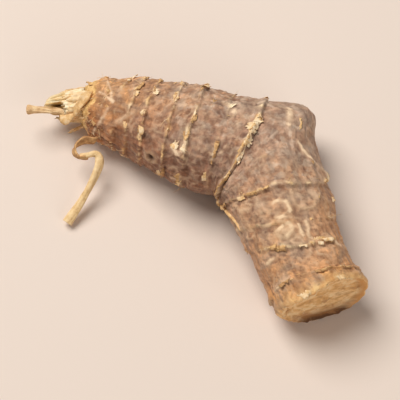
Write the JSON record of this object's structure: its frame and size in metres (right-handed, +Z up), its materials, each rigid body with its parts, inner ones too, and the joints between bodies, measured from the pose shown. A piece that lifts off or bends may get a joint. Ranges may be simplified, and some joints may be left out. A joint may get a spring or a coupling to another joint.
{
  "type": "dried sand ginger rhizome",
  "caption": "Bent piece of dried aromatic root, ringed and brown, sawn flat at one end and torn to a splintered core at the other.",
  "frame": {"origin": "on the table, under the centre of the bounding box", "axes": "+X along the longest extent, from the torn end towards the elbow; +Z up from the table the piece lies on; the sawn end points to -Y"},
  "size_m": [0.0507, 0.038, 0.0145],
  "materials": {
    "bark": "matt mauve-brown bark with pale ring scars"
  },
  "bodies": {
    "root": {"rhizome": "bark"}
  },
  "joints": []
}
